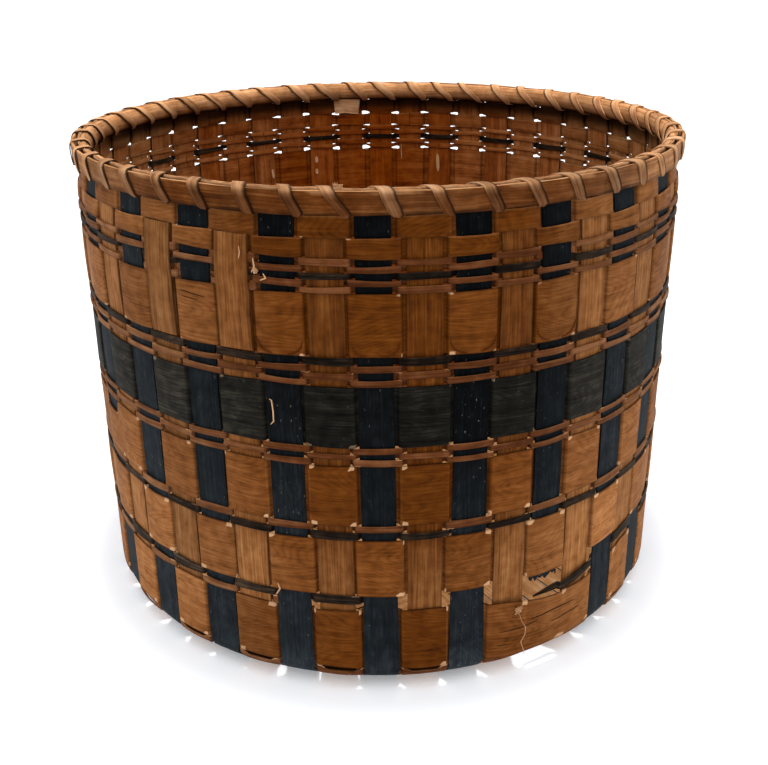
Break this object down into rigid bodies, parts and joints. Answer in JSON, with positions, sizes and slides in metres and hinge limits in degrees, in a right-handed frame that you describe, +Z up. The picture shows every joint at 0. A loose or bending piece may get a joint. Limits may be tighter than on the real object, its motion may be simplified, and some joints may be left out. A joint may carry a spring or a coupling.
{
  "type": "splint basket",
  "caption": "Round open storage basket of plaited wood splints, dyed and plain by turns, with a checkerwork base and a lashed hoop rim.",
  "frame": {"origin": "middle of the flat underside that the basket stands on", "axes": "+Z up through the open mouth, -Y towards the side seen in the picture, +X to the right of that side"},
  "size_m": [0.3594, 0.3593, 0.2806],
  "materials": {
    "plain_splint": "satin, aged mid brown, grain along the splint",
    "dyed_splint": "satin, dyed blue-black on its outer face",
    "hoop_wood": "satin, pale tan",
    "lashing_splint": "satin, pinkish tan"
  },
  "bodies": {
    "root": {"dyed_stake_splint_1": "dyed_splint", "dyed_stake_splint_2": "dyed_splint", "dyed_stake_splint_3": "dyed_splint", "dyed_stake_splint_4_broken": "dyed_splint", "dyed_stake_splint_4_broken_top": "dyed_splint", "dyed_stake_splint_5": "dyed_splint", "dyed_stake_splint_6": "dyed_splint", "dyed_stake_splint_7": "dyed_splint", "dyed_stake_splint_8": "dyed_splint", "dyed_stake_splint_9": "dyed_splint", "dyed_stake_splint_10": "dyed_splint", "dyed_stake_splint_11": "dyed_splint", "dyed_stake_splint_12": "dyed_splint", "plain_stake_splint_1": "plain_splint", "plain_stake_splint_2": "plain_splint", "plain_stake_splint_3": "plain_splint", "plain_stake_splint_4": "plain_splint", "plain_stake_splint_5": "plain_splint", "plain_stake_splint_6": "plain_splint", "plain_stake_splint_7": "plain_splint", "plain_stake_splint_8": "plain_splint", "plain_stake_splint_9": "plain_splint", "plain_stake_splint_10": "plain_splint", "plain_stake_splint_11": "plain_splint", "plain_stake_splint_12": "plain_splint", "stake_patch_splint_1": "plain_splint", "stake_patch_splint_2": "plain_splint", "base_edge_weaver": "plain_splint", "wide_weaver_1": "plain_splint", "narrow_weaver_1_broken": "plain_splint", "dyed_narrow_weaver_1_broken": "dyed_splint", "wide_weaver_2": "plain_splint", "dyed_narrow_weaver_2": "dyed_splint", "narrow_weaver_2": "plain_splint", "wide_weaver_3": "plain_splint", "narrow_weaver_3": "plain_splint", "narrow_weaver_4": "plain_splint", "narrow_weaver_5": "plain_splint", "dyed_wide_weaver_4": "dyed_splint", "narrow_weaver_6": "plain_splint", "narrow_weaver_7": "plain_splint", "narrow_weaver_8": "plain_splint", "dyed_narrow_weaver_3": "dyed_splint", "wide_weaver_5": "plain_splint", "narrow_weaver_9": "plain_splint", "narrow_weaver_10": "plain_splint", "dyed_narrow_weaver_4": "dyed_splint", "narrow_weaver_11_broken": "plain_splint", "narrow_weaver_12": "plain_splint", "medium_weaver_6": "plain_splint", "medium_weaver_7": "plain_splint", "outer_rim_hoop": "hoop_wood", "inner_rim_hoop": "hoop_wood", "rim_filler": "plain_splint", "rim_lashing": "lashing_splint"}
  },
  "joints": []
}
